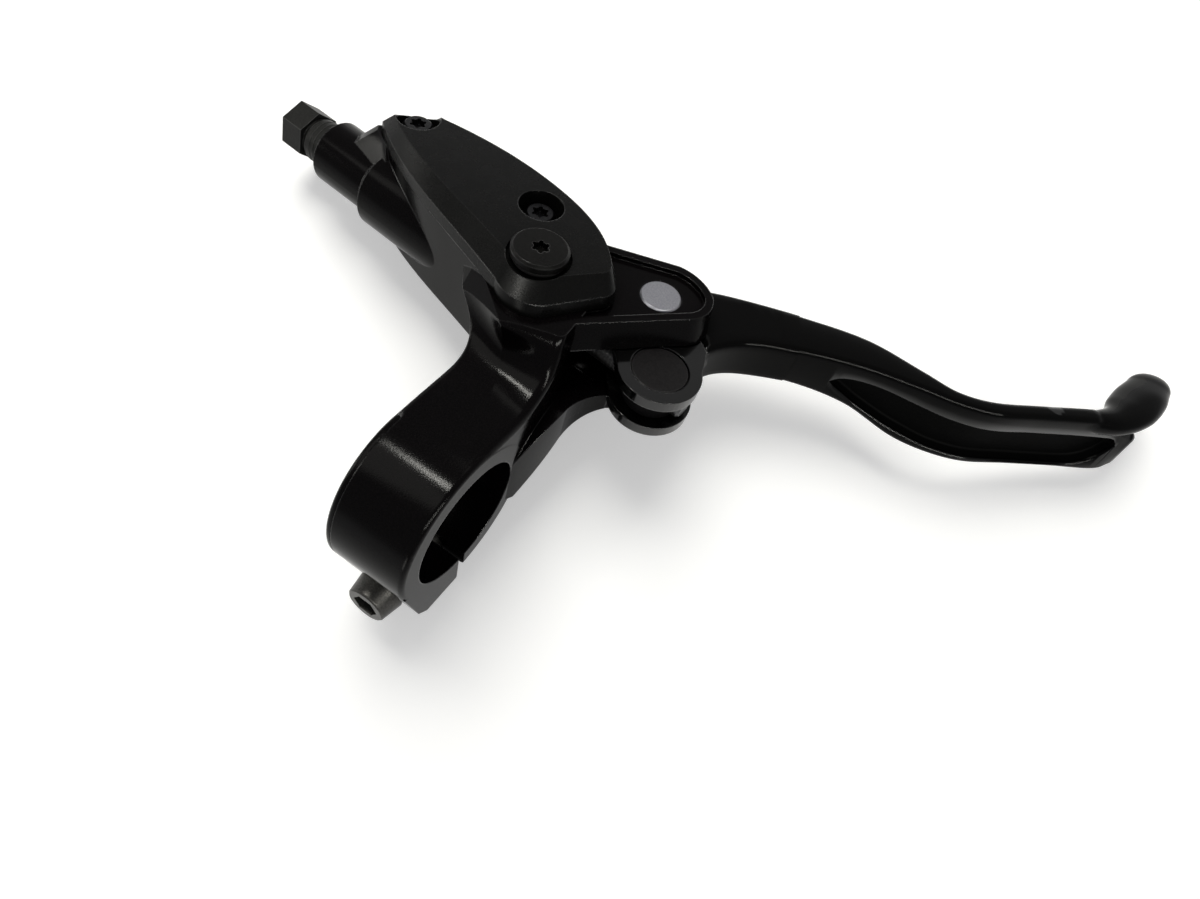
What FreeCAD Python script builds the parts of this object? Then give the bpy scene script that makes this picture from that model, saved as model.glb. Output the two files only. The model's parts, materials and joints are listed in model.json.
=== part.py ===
import FreeCAD, Part
import math
import os
from FreeCAD import Vector

# Hydraulic brake lever, right hand, for a 22.2 mm handlebar
# Frame: origin in the middle of the clamp bore, X along the bar to the lever tip,
# Y forward from the rider, Z up along the lever pivot

# Handlebar clamp
BAR_D = 22.2
CLAMP_W = 14.4
RING_WALL = 3.8
SLIT_W = 1.5
BOLT_Z = -14.3
BOLT_D = 5.0
BOLT_HOLE_GAP = 0.25
BOSS_BOTTOM = -17.5
BOSS_FRONT_Y = 9.0
BOLT_SEAT_Y = -11.0
BOLT_HEAD_L = 3.9
BOLT_HEAD_R0 = 4.1
BOLT_HEAD_R1 = 3.5
BOLT_SOCKET_AF = 4.0
BOLT_SOCKET_DEPTH = 2.6
BOLT_SEAT_GAP = 0.4
BOSS_FLANK = (-14.15, -4.17)
BOSS_HEEL = (-10.6, -15.1)
BOSS_FOOT_Y = -8.4
EAR_MORE = 1.0

# Web from the hose end of the reservoir down to the cylinder, in plan
GUSSET_LOW = [(-50.4, 39.3), (-49.6, 37.1), (-39.4, 34.6), (-36.0, 40.0), (-45.0, 43.0)]
GUSSET_TOP = [(-46.4, 41.0), (-45.6, 39.9), (-42.0, 37.9), (-38.0, 39.5), (-44.0, 43.2)]
GUSSET_LOW_Z = 18.4

# Lever pivot and push barrel, seen from above
PIVOT = Vector(11.5, 41.9, 0)
BARREL = Vector(18.4, 32.0, 0)
AXIS_Z = 13.5
CYL_YAW = 5.6
RUN_GAP = 0.05

# Heights of the two arms and of the lever root between them
LEVER_TOP = 17.7
LEVER_LOW = 9.4
ARM_GAP = 0.25
UPPER_ARM_T = 4.55
LOWER_ARM_T = 3.5
ARM_RIM_W = 1.4
ARM_RECESS = 0.9

# Pivot pin
PIN_R = 3.45
PIN_TOP_DROP = 0.7
PIN_BELOW = 1.7
BUSH_WALL = 1.0
BUSH_L = 3.4
CLIP_T = 0.7
CLIP_R = 5.4
CLIP_GROOVE = 0.6
CLIP_MOUTH = 4.5

# Master cylinder, measured along its axis from the push barrel
CYL_MOUTH_S = 15.8
MOUTH_CLEAR = 6.5
CYL_STEP_S = 61.5
CYL_END_S = 73.5
CYL_R = 7.1
CYL_NECK_R = 5.75
CYL_STEP_L = 1.2
BORE_R = 5.0
BORE_END_S = 58.5
BORE_END_TAPER = 1.4
MOUTH_R_MORE = 0.3
HOSE_STOP = 3.0
PORT_R = 1.6
NUT_THREAD_R = 4.0
NUT_SEAT_S = 66.5

# Hose nut and its compression ring
NUT_HEX_AF = 8.0
NUT_HEX_L = 4.7
NUT_GAP_L = 4.9
NUT_HEX_DEG = 39.0
NUT_TIP_S = 1.6
NUT_THREAD_GAP = 0.08
NUT_UNDERCUT = 0.5
HOSE_R = 2.5
HOSE_GAP = 0.1
OLIVE_R = 3.6
OLIVE_BACK = 1.2
OLIVE_L = 2.75

# Piston group
ROD_BALL_S = 22.0
ROD_BALL_R = 2.5
ROD_R = 1.95
ROD_SHANK_R = 1.6
ROD_OUT_S = -6.2
ROD_THREAD_S = 14.6
SEAT_GAP = 0.32
PISTON_S0 = 19.2
PISTON_S1 = 37.5
PISTON_GAP = 0.04
PISTON_WAIST_R = 3.3
CUP_LIP_T = 1.0
CUP_LIP_R = 0.7
CUP_BACK_GAP = 0.35
PISTON_LAND = 1.2
PISTON_NOSE_L = 0.9
PISTON_NOSE_R = 2.3
PISTON_MOUTH = 0.6
WASHER_T = 1.0
WASHER_HOLE_R = 3.4
CIRCLIP_T = 0.9
CIRCLIP_IN = 1.0
CIRCLIP_WIDTH = 1.75
CIRCLIP_MOUTH = 2.6
CIRCLIP_GROOVE = 0.55
SPRING_WIRE_R = 0.45
SPRING_R = 3.3
SPRING_TURNS = 6
SPRING_SIDES = 6

# Push barrel in the lever fork
BARREL_R = 4.75
BARREL_DROP = 0.12
FORK_R = 6.9
FORK_GAP = 4.3
FORK_SLOT_Y = 36.2

# Lever hub and blade, its length and set measured from the pivot
HUB_R = 7.8
LEVER_REACH = 84.0
LEVER_SET = 59.0
LEVER_SWEEP = 25.0
BLADE_LOW = 4.2
BLADE_ROUND = 1.1
POCKET_DEPTH = 1.7

# Reservoir and lid
SEAM_Z = 22.5
LID_EDGE_H = 2.0
LID_H = 4.2
LID_MID = Vector(-19.0, 36.0, 0)
LID_SHOULDER = (0.985, 0.965)
LID_CROWN = (0.9, 0.76, 1.2)
LID_SKIN = 1.8
LID_HOLLOW = (0.84, 0.82)
LID_HOLLOW_TOP = (0.8, 0.68, 0.6)
LID_FLOOR = 1.2
HOUSING_TOP = (0.985, 0.975)
CAVITY = (0.86, 0.86)
CAVITY_FLOOR = (0.86, 0.82)
LEDGE = (0.91, 0.9)
SHEET = (0.9, 0.885)
SCREW_BOSS_WALL = 1.6
SCREW_LID_WALL = 1.2
SCREW_LID_GAP = 0.15
BLEED_BOSS_WALL = 2.0
SHEET_HOLE_GAP = 0.1
HOUSING_LOW_Z = 7.0
HOUSING_LOW = (0.96, 0.82, -1.5)
CAVITY_FLOOR_Z = 20.9
DIAPHRAGM_T = 0.9
SCREW_NEAR = Vector(-11.8, 40.0, 0)
SCREW_FAR = Vector(-39.6, 43.2, 0)
SCREW_HEAD_R = 2.7
SCREW_HEAD_H = 1.7
SCREW_HOLE_R = 3.9
SCREW_R = 1.5
SCREW_L = 7.0
SCREW_TIP_GAP = 1.5
BLEED = Vector(-5.3, 30.2, 0)
BLEED_R = 4.6
BLEED_HEAD_H = 1.7
BLEED_STEM_R = 2.5
BLEED_STEM_L = 4.0
BLEED_SEAT_DROP = 0.9
BLEED_SEAT_GAP = 0.5
O_RING_R = 0.75
O_RING_SQUASH = 1.1
O_RING_DEG = (150, 180, 225, 270, 315, 360, 390)

# Outline of the lid at the seam, in plan: rider side, nose, end, far side, hose corner
LID_RIDER = [(-45.0, 40.2), (-34.0, 33.3), (-20.0, 27.6), (-8.0, 22.9)]
LID_NOSE = [(-8.0, 22.9), (-3.6, 21.5), (0.6, 23.3)]
LID_END = [(6.0, 31.4), (6.9, 33.4), (6.4, 35.4)]
LID_FAR = [(6.4, 35.4), (-0.5, 42.7), (-12.0, 47.4), (-26.0, 48.9), (-38.0, 47.6)]
LID_CORNER = (-43.2, 44.9)

# Neck from ring to reservoir: sections that run along the ring and then turn up to the seam about a line
# across the neck. Each has its start along Y, its turn in degrees, three (x, distance from that line)
# places for left edge, ridge and right edge, and the inner end of both walls (left x, right x, distance)
NECK_TOP_Y = 11.0
NECK_SECTIONS = [
    (-11.0, -90.0, (-6.4, 7.6), (1.8, 7.6), (5.85, 7.6), (-7.2, 7.15, 32.0)),
    (-5.0, -90.0, (-6.4, 7.6), (1.4, 7.6), (5.85, 7.8), (-7.2, 7.15, 32.0)),
    (0.0, -90.0, (-6.4, 7.7), (0.7, 7.6), (5.85, 8.0), (-7.2, 7.15, 32.0)),
    (0.0, -68.0, (-6.5, 8.2), (0.0, 8.0), (5.7, 8.2), (-7.2, 6.9, 32.0)),
    (0.0, -45.0, (-7.4, 9.4), (-1.6, 8.9), (5.5, 8.8), (-7.4, 5.8, 28.0)),
    (0.0, -22.0, (-11.0, 11.2), (-2.6, 8.2), (5.1, 9.5), (-11.8, 5.2, 22.0)),
    (0.0, 0.0, (-20.5, 16.2), (-4.1, 7.9), (4.0, 11.1), (-21.3, 4.8, 18.5))]
NECK_LEFT_ROUND = 0.8
NECK_RIGHT_ROUND = 1.3
NECK_BACK_Y = 36.0
NECK_SPREAD = 30.0

# Underside of neck and web in the side view (y, z)
UNDER_END_Y = 29.0
UNDER_MID = (21.0, 0.6)
UNDER_FOOT = (12.6, -7.4)
UNDER_HEEL = (9.0, -6.5)

# Falling top edge of the flare on the hose side (x, y, z) and its slope up to the wall
FLARE_TOP = [(-4.1, 18.9, 22.5), (-13.9, 23.5, 19.5), (-23.0, 28.5, 15.1)]
FLARE_SLOPE = 0.9
FLARE_FROM_Y = 17.0

# Upper arm in plan at its top: root, front edge, tip, end, far edge; its front face leans out below
ARM_ROOT = (-6.0, 25.0)
ARM_FRONT = [(3.0, 23.9), (17.9, 40.0)]
ARM_TIP = [(19.5, 43.8), (18.5, 47.0)]
ARM_END = [(15.3, 49.1), (10.6, 49.5)]
ARM_FAR = (-2.5, 44.2)
ARM_LEAN = (1.1, -1.0)

# Lower arm and its web in plan
LOW_ARM_BACK = [(-6.0, 22.0), (-6.0, 42.0)]
LOW_ARM_SIDE = [(9.2, 22.0), (10.4, 26.0), (13.4, 29.6)]
LOW_ARM_END_R = 8.4
LOW_ARM_END_DEG = [-28.0, 45.0, 118.0]
WEB_TOP = [(10.0, 1.5), (15.1, 7.1)]
WEB_TOP_Y = 22.4
WEB_TURN_Y = 11.0
WEB_SIDE = (8.6, 16.0)
WEB_OUT = [(10.2, 25.6), (12.8, 29.0)]
WEB_ROOT_Y = 5.0

# Room for the lever between the arms
ROOM_GAP = 0.7
HUB_ROOM_GAP = 0.6
ROOM_FAR_DEG = 110.0

# Lever root in plan
ROOT_LINK = [(4.6, 38.6), (12.4, 28.6), (25.0, 30.0), (24.2, 35.2), (22.4, 40.6), (11.5, 49.0)]

# Blade sections from root to end: rider's edge and far edge as parts of reach and set,
# how far the underside has come down from the root to its lowest, and how far the top has sunk
BLADE_SECTIONS = [
    ((0.130, -0.022), (0.010, 0.160), 0.0, 0.0),
    ((0.185, 0.095), (0.095, 0.240), 0.0, 0.0),
    ((0.274, 0.176), (0.220, 0.318), 0.0, 0.0),
    ((0.405, 0.262), (0.375, 0.374), 0.32, 0.0),
    ((0.525, 0.308), (0.505, 0.386), 0.92, 0.0),
    ((0.600, 0.333), (0.580, 0.393), 1.0, 0.0),
    ((0.680, 0.390), (0.655, 0.427), 1.0, 0.0),
    ((0.765, 0.480), (0.742, 0.530), 1.0, 0.0),
    ((0.860, 0.572), (0.834, 0.632), 1.0, 0.0),
    ((0.900, 0.614), (0.873, 0.675), 1.0, 0.6),
    ((0.926, 0.642), (0.899, 0.703), 0.96, 2.0),
    ((0.944, 0.663), (0.918, 0.724), 0.72, 3.2)]
BLADE_CAP = [(0.7, 0.25), (1.2, 0.7), (1.45, 1.3)]

# Hooked end of the upper flange: place, heading in degrees, half width, half height
HOOK_MID_Z = 15.6
HOOK_SQUARE = 0.77
HOOK_POINTS = 8
HOOK_SECTIONS = [
    ((0.847, 0.602), 37.0, 1.85, 2.0),
    ((0.904, 0.673), 47.0, 2.7, 2.1),
    ((0.930, 0.762), 72.0, 4.0, 2.3),
    ((0.947, 0.848), 78.0, 4.2, 2.4),
    ((0.962, 0.932), 80.0, 3.2, 2.0)]
HOOK_END = (0.967, 0.996)

# Hollow on the rider's side of the blade: side view as (part of reach, z)
POCKET_START = (0.35, 12.6)
POCKET_MOUTH = [(0.43, 14.7), (0.53, 14.9), (0.65, 14.8)]
POCKET_END = [(0.912, 13.5), (0.927, 10.2), (0.888, 6.9)]
POCKET_FOOT = [(0.63, 7.3), (0.51, 7.4), (0.43, 10.2)]
POCKET_FIRST = 3
POCKET_IN = Vector(-0.55, 0.83, 0)
POCKET_OUT = Vector(0.6, -0.8, 0)

# Seal seats on the piston and the two oil ports above the bore
SEAL_A = 4.6
SEAL_B = 4.2
SEAL_W = 2.4
OIL_PORT_S = (39.6, 44.0)
OIL_PORT_R = 0.6

# Edge roundings and breaks, play between pieces that sit together, overrun of cuts
RING_ROUND = 0.8
FINE_BREAK = 0.25
EDGE_BREAK = 0.4
END_BREAK = 0.6
PLAY = 0.05
CLIP_PLAY = 0.1
OVERRUN = 1.0

# Six-lobed driver recess
TORX_R = 1.45
TORX_DEPTH = 1.1
TORX_CORE = 0.74
TORX_LOBE_AT = 0.76
TORX_LOBE_R = 0.24

# Values that follow from those above
BAR_R = BAR_D / 2
RING_R = BAR_R + RING_WALL
ARM_LOW = LEVER_TOP + ARM_GAP
ARM_TOP = ARM_LOW + UPPER_ARM_T
LOW_ARM_TOP = LEVER_LOW - ARM_GAP
LOW_ARM_BOTTOM = LOW_ARM_TOP - LOWER_ARM_T
PIN_TOP = ARM_TOP - PIN_TOP_DROP
PIN_LOW = LOW_ARM_BOTTOM - PIN_BELOW
LID_TOP = SEAM_Z + LID_H
BLEED_SEAT_Z = LID_TOP - BLEED_SEAT_DROP
FORK_MID_Z = AXIS_Z
FORK_ARM = (BARREL - PIVOT).Length
FORK_DEG = math.degrees(math.atan2(BARREL.y - PIVOT.y, BARREL.x - PIVOT.x))
FORK_HALF_DEG = math.degrees(math.asin((FORK_R + ROOM_GAP) / FORK_ARM))
SEAL_A_S = PISTON_S0 + SEAL_A
SEAL_B_S = PISTON_S1 - SEAL_B
CIRCLIP_S = CYL_MOUTH_S + CIRCLIP_IN
BUSH_R = PIN_R + RUN_GAP + BUSH_WALL
LID_FLOOR_Z = SEAM_Z + LID_FLOOR
BOW = 1.0 - math.sqrt(0.5)
UP = Vector(0, 0, 1)
ALONG_X = Vector(1, 0, 0)
YAW = math.radians(CYL_YAW)
CYL_DIR = Vector(-math.cos(YAW), math.sin(YAW), 0)
CYL_PLACE = FreeCAD.Placement(
    BARREL + Vector(0, 0, AXIS_Z), FreeCAD.Rotation(UP, 180.0 - CYL_YAW))


def on_axis(s):
    """Point on the cylinder axis at distance s from the push barrel."""
    return BARREL + Vector(0, 0, AXIS_Z) + CYL_DIR * s


def round_bar(s0, s1, radius):
    return Part.makeCylinder(radius, s1 - s0, on_axis(s0), CYL_DIR)


def turned_on_axis(profile):
    """Solid of revolution about the cylinder axis from (s, r) corners."""
    corners = [Vector(s, r, 0) for s, r in profile]
    face = Part.Face(Part.makePolygon(corners + [corners[0]]))
    solid = face.revolve(Vector(0, 0, 0), ALONG_X, 360)
    solid.Placement = CYL_PLACE
    return solid


def turned_upright(profile, centre):
    """Solid of revolution about a vertical axis from (r, z) corners."""
    corners = [Vector(r, 0, z) for r, z in profile]
    face = Part.Face(Part.makePolygon(corners + [corners[0]]))
    solid = face.revolve(Vector(0, 0, 0), UP, 360)
    solid.translate(Vector(centre.x, centre.y, 0))
    return solid


def post(centre, radius, z0, z1):
    return Part.makeCylinder(radius, z1 - z0, Vector(centre.x, centre.y, z0), UP)


def spline(points):
    curve = Part.BSplineCurve()
    curve.interpolate(points)
    return curve.toShape()


def arc(a, b, c):
    return Part.Arc(a, b, c).toShape()


def line(a, b):
    return Part.makeLine(a, b)


def block(edges, height):
    """Solid from a closed outline, raised along Z or pushed along X."""
    face = Part.Face(Part.Wire(edges))
    return face.extrude(height)


def rounded(solid, radius, wanted):
    """Rounds the edges that a test picks out."""
    edges = [e for e in solid.Edges if wanted(e)]
    return solid.makeFillet(radius, edges)


def lid_wire(z, kx, ky, shift_y=0.0):
    """Leaf outline of the lid, scaled about its middle."""

    def at(x, y):
        return Vector(LID_MID.x + (x - LID_MID.x) * kx, LID_MID.y + (y - LID_MID.y) * ky + shift_y, z)

    rider = [at(*p) for p in LID_RIDER]
    far = [at(*p) for p in LID_FAR]
    nose = [at(*p) for p in LID_NOSE]
    end = [at(*p) for p in LID_END]
    edges = [spline(rider)]
    edges.append(arc(*nose))
    edges.append(line(nose[-1], end[0]))
    edges.append(arc(*end))
    edges.append(spline(far))
    edges.append(arc(far[-1], at(*LID_CORNER), rider[0]))
    return Part.Wire(edges)


def lid_loft(sections):
    wires = [lid_wire(*section) for section in sections]
    return Part.makeLoft(wires, True, True)


def torx_cut(centre, z_top, radius):
    """Six-lobed driver recess."""
    lobes = post(centre, radius * TORX_CORE, z_top - TORX_DEPTH, z_top + OVERRUN)
    for i in range(6):
        ang = math.radians(60 * i)
        spot = centre + Vector(math.cos(ang), math.sin(ang), 0) * radius * TORX_LOBE_AT
        lobes = lobes.fuse(post(spot, radius * TORX_LOBE_R, z_top - TORX_DEPTH, z_top + OVERRUN))
    return lobes


def clamp_ring():
    ring = Part.makeCylinder(RING_R, CLAMP_W, Vector(-CLAMP_W / 2, 0, 0), ALONG_X)
    return rounded(ring, RING_ROUND, lambda e: e.Curve.TypeId == "Part::GeomCircle")


def clamp_boss():
    """Ears on both sides of the slit, the rear one with a flat foot."""
    x0 = -CLAMP_W / 2
    rear = [(0, -BAR_R), BOSS_FLANK, BOSS_HEEL, (BOSS_FOOT_Y, BOSS_BOTTOM), (0, BOSS_BOTTOM)]
    corners = [Vector(x0, y, z) for y, z in rear]
    boss = Part.Face(Part.makePolygon(corners + [corners[0]])).extrude(Vector(CLAMP_W, 0, 0))
    ear_r = BOLT_Z - BOSS_BOTTOM + EAR_MORE
    front = Part.makeCylinder(ear_r, BOSS_FRONT_Y, Vector(0, 0, BOLT_Z), Vector(0, 1, 0))
    return boss.fuse(front)


def neck_wire(start_y, degrees, left, ridge, right, deep):
    """One cross-section of the neck, with both upper edges rounded."""
    turn = math.radians(degrees)
    centre_y = NECK_TOP_Y + start_y

    def at(x, reach):
        return Vector(x, centre_y + reach * math.cos(turn), SEAM_Z + reach * math.sin(turn))

    left_x, left_reach = left
    right_x, right_reach = right
    deep_left_x, deep_right_x, deep_reach = deep
    left_low = at(left_x - NECK_LEFT_ROUND, left_reach + NECK_LEFT_ROUND)
    left_mid = at(left_x - NECK_LEFT_ROUND * (1.0 - BOW), left_reach + NECK_LEFT_ROUND * BOW)
    right_low = at(right_x + NECK_RIGHT_ROUND, right_reach + NECK_RIGHT_ROUND)
    right_mid = at(right_x + NECK_RIGHT_ROUND * (1.0 - BOW), right_reach + NECK_RIGHT_ROUND * BOW)
    deep_left = at(deep_left_x, deep_reach)
    deep_right = at(deep_right_x, deep_reach)
    return Part.Wire([
        line(deep_left, left_low), arc(left_low, left_mid, at(*left)), line(at(*left), at(*ridge)),
        line(at(*ridge), at(*right)), arc(at(*right), right_mid, right_low), line(right_low, deep_right),
        line(deep_right, deep_left)])


def below_neck():
    """Space under the neck, bounded by its curved underside."""

    def p(y, z):
        return Vector(-NECK_SPREAD, y, z)

    heel = p(*UNDER_HEEL)
    foot = p(*UNDER_FOOT)
    end = p(UNDER_END_Y, LOW_ARM_BOTTOM)
    low_z = BOSS_BOTTOM * 2
    rest = [end, p(PIVOT.y, LOW_ARM_BOTTOM), p(PIVOT.y, low_z), p(heel.y, low_z), heel]
    edges = [line(heel, foot), arc(foot, p(*UNDER_MID), end)] + [line(a, b) for a, b in zip(rest, rest[1:])]
    return block(edges, Vector(NECK_SPREAD * 2, 0, 0))


def neck():
    """Neck from the ring up to the lid seam, flaring out to the hose side under a falling top edge."""
    body = Part.makeLoft([neck_wire(*row) for row in NECK_SECTIONS], True, False)
    fall = [Vector(x, FLARE_FROM_Y, z - (y - FLARE_FROM_Y) * FLARE_SLOPE) for x, y, z in FLARE_TOP]
    above = fall + [Vector(fall[-1].x, FLARE_FROM_Y, LID_TOP), Vector(fall[0].x, FLARE_FROM_Y, LID_TOP)]
    back = Vector(0, NECK_BACK_Y, NECK_BACK_Y * FLARE_SLOPE)
    body = body.cut(Part.Face(Part.makePolygon(above + [above[0]])).extrude(back))
    return body.cut(below_neck())


def round_end(radius, degrees, z):
    """Points on a circle about the pivot."""
    points = []
    for deg in degrees:
        ang = math.radians(deg)
        points.append(Vector(PIVOT.x + radius * math.cos(ang), PIVOT.y + radius * math.sin(ang), z))
    return points


def upper_arm_wire(z, lean=(0.0, 0.0)):
    """Outline of the upper arm, its front and tip moved by the lean."""

    def q(x, y):
        return Vector(x, y, z)

    def leaned(x, y):
        return q(x + lean[0], y + lean[1])

    root = q(*ARM_ROOT)
    front = [leaned(*p) for p in ARM_FRONT]
    tip = [leaned(*ARM_TIP[0]), q(*ARM_TIP[1])]
    end = [q(*p) for p in ARM_END]
    far = q(*ARM_FAR)
    edges = [line(root, front[0]), line(front[0], front[1]), arc(front[1], *tip)]
    edges += [arc(tip[-1], *end), line(end[-1], far), line(far, root)]
    return Part.Wire(edges)


def upper_arm():
    """Arm over the lever root with a raised rim round its top."""
    arm = Part.makeLoft([upper_arm_wire(ARM_LOW, ARM_LEAN), upper_arm_wire(ARM_TOP)], True, True)
    inner = upper_arm_wire(ARM_TOP - ARM_RECESS).makeOffset2D(-ARM_RIM_W)
    return arm.cut(Part.Face(inner).extrude(Vector(0, 0, ARM_RECESS + OVERRUN)))


def lower_arm():
    """Arm under the lever root, carried by a web that curves out from the ring."""
    half = CLAMP_W / 2

    def q(x, y):
        return Vector(x, y, LOW_ARM_BOTTOM)

    side = [q(*p) for p in LOW_ARM_SIDE]
    back = [q(*p) for p in LOW_ARM_BACK]
    rim = round_end(LOW_ARM_END_R, LOW_ARM_END_DEG, LOW_ARM_BOTTOM)
    edges = [line(back[0], side[0]), arc(*side), line(side[-1], rim[0]), arc(*rim)]
    edges += [line(rim[-1], back[1]), line(back[1], back[0])]
    plate = block(edges, Vector(0, 0, LOWER_ARM_T))

    def p(y, z):
        return Vector(-half, y, z)

    inner = [p(*point) for point in WEB_TOP]
    top = [p(WEB_TOP_Y, LOW_ARM_TOP), p(UNDER_END_Y, LOW_ARM_TOP), p(UNDER_END_Y, LOW_ARM_BOTTOM)]
    foot = p(*UNDER_FOOT)
    heel = p(*UNDER_HEEL)
    view = [arc(*inner, top[0]), line(top[0], top[1]), line(top[1], top[2])]
    view += [arc(top[2], p(*UNDER_MID), foot), line(foot, heel), line(heel, inner[0])]
    web = block(view, Vector(half + WEB_OUT[1][0], 0, 0))

    def w(x, y):
        return Vector(x, y, BOSS_BOTTOM)

    turn = w(half, WEB_TURN_Y)
    step = w(*LOW_ARM_SIDE[0])
    out = [w(*point) for point in WEB_OUT]
    root = [w(0, UNDER_END_Y), w(0, WEB_ROOT_Y), w(half, WEB_ROOT_Y), turn]
    plan = [line(out[1], root[0])] + [line(a, b) for a, b in zip(root, root[1:])]
    plan += [arc(turn, w(*WEB_SIDE), step), arc(step, *out)]
    return plate.fuse(web.common(block(plan, Vector(0, 0, SEAM_Z - BOSS_BOTTOM))))


def housing():
    """Reservoir wall from the lid seam down past the cylinder."""
    return lid_loft([(SEAM_Z, *HOUSING_TOP), (HOUSING_LOW_Z, *HOUSING_LOW)])


def gusset():
    """Sloping web between the hose end of the reservoir and the cylinder."""
    wires = []
    for corners, z in ((GUSSET_LOW, GUSSET_LOW_Z), (GUSSET_TOP, SEAM_Z - PLAY)):
        points = plan_points(corners, z)
        wires.append(Part.makePolygon(points + [points[0]]))
    return Part.makeLoft(wires, True, True)


def cylinder():
    return turned_on_axis([
        (CYL_MOUTH_S, 0), (CYL_MOUTH_S, CYL_R - END_BREAK), (CYL_MOUTH_S + END_BREAK, CYL_R),
        (CYL_STEP_S - CYL_STEP_L, CYL_R), (CYL_STEP_S, CYL_NECK_R), (CYL_END_S - END_BREAK, CYL_NECK_R),
        (CYL_END_S, CYL_NECK_R - END_BREAK), (CYL_END_S, 0)])


def lever_room():
    """Space that the fork and hub sweep between the arms."""
    height = ARM_LOW - LOW_ARM_TOP
    start = FORK_DEG - LEVER_SWEEP - FORK_HALF_DEG
    sweep = Part.makeCylinder(FORK_ARM + FORK_R + ROOM_GAP, height, Vector(0, 0, 0), UP, ROOM_FAR_DEG - start)
    sweep.rotate(Vector(0, 0, 0), UP, start)
    sweep.translate(Vector(PIVOT.x, PIVOT.y, LOW_ARM_TOP))
    return sweep.fuse(post(PIVOT, HUB_R + HUB_ROOM_GAP, LOW_ARM_TOP, ARM_LOW))


def bore_cut():
    """Stepped inside of the cylinder from mouth to hose end."""
    mouth_s = CYL_MOUTH_S - MOUTH_CLEAR
    mouth_r = BORE_R + MOUTH_R_MORE
    groove_r = mouth_r + CIRCLIP_GROOVE
    groove_end = CIRCLIP_S + CIRCLIP_T + CLIP_PLAY
    stop_s = NUT_SEAT_S - HOSE_STOP
    out_s = CYL_END_S + OVERRUN
    return turned_on_axis([
        (mouth_s, 0), (mouth_s, mouth_r), (CIRCLIP_S, mouth_r), (CIRCLIP_S, groove_r), (groove_end, groove_r),
        (groove_end, BORE_R), (BORE_END_S, BORE_R), (BORE_END_S + BORE_END_TAPER, PORT_R),
        (stop_s, PORT_R), (stop_s + EDGE_BREAK, HOSE_R + HOSE_GAP), (NUT_SEAT_S, OLIVE_R + CLIP_PLAY),
        (NUT_SEAT_S + EDGE_BREAK, NUT_THREAD_R), (out_s, NUT_THREAD_R), (out_s, 0)])


def lid_screw_posts(radius, z0, z1):
    return post(SCREW_NEAR, radius, z0, z1).fuse(post(SCREW_FAR, radius, z0, z1))


def clamp_cuts():
    """Bar hole, slit, bolt hole and bolt seat of the clamp."""
    along_y = Vector(0, 1, 0)
    wide = CLAMP_W * 2
    long = RING_R * 3
    bar = Part.makeCylinder(BAR_R, wide, Vector(-CLAMP_W, 0, 0), ALONG_X)
    slit = Part.makeBox(wide, SLIT_W, RING_R, Vector(-CLAMP_W, -SLIT_W / 2, OVERRUN - BAR_R - RING_R))
    shank = Part.makeCylinder(BOLT_D / 2 + BOLT_HOLE_GAP, long, Vector(0, -long / 2, BOLT_Z), along_y)
    seat_at = Vector(0, BOLT_SEAT_Y - RING_R, BOLT_Z)
    seat = Part.makeCylinder(BOLT_HEAD_R0 + BOLT_SEAT_GAP, RING_R, seat_at, along_y)
    return [bar, slit, shank, seat]


def master_body():
    body = clamp_ring().fuse(clamp_boss())
    for piece in (neck(), housing(), gusset(), cylinder(), upper_arm(), lower_arm()):
        body = body.fuse(piece)
    body = body.cut(lever_room())
    pin_hole = post(PIVOT, PIN_R + RUN_GAP, LOW_ARM_BOTTOM - OVERRUN, ARM_TOP + OVERRUN)
    for hole in clamp_cuts() + [bore_cut(), pin_hole]:
        body = body.cut(hole)
    sheet_z = SEAM_Z - DIAPHRAGM_T
    cavity = lid_loft([(sheet_z, *CAVITY), (CAVITY_FLOOR_Z, *CAVITY_FLOOR)])
    ledge = lid_loft([(sheet_z, *LEDGE), (SEAM_Z + OVERRUN, *LEDGE)])
    keep = lid_screw_posts(SCREW_R + SCREW_BOSS_WALL, HOUSING_LOW_Z, SEAM_Z)
    body = body.cut(cavity.fuse(ledge).cut(keep))
    body = body.cut(lid_screw_posts(SCREW_R + RUN_GAP, SEAM_Z - SCREW_L, SEAM_Z + OVERRUN))
    for s in OIL_PORT_S:
        body = body.cut(post(on_axis(s), OIL_PORT_R, AXIS_Z, CAVITY_FLOOR_Z + OVERRUN))
    return body


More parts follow.
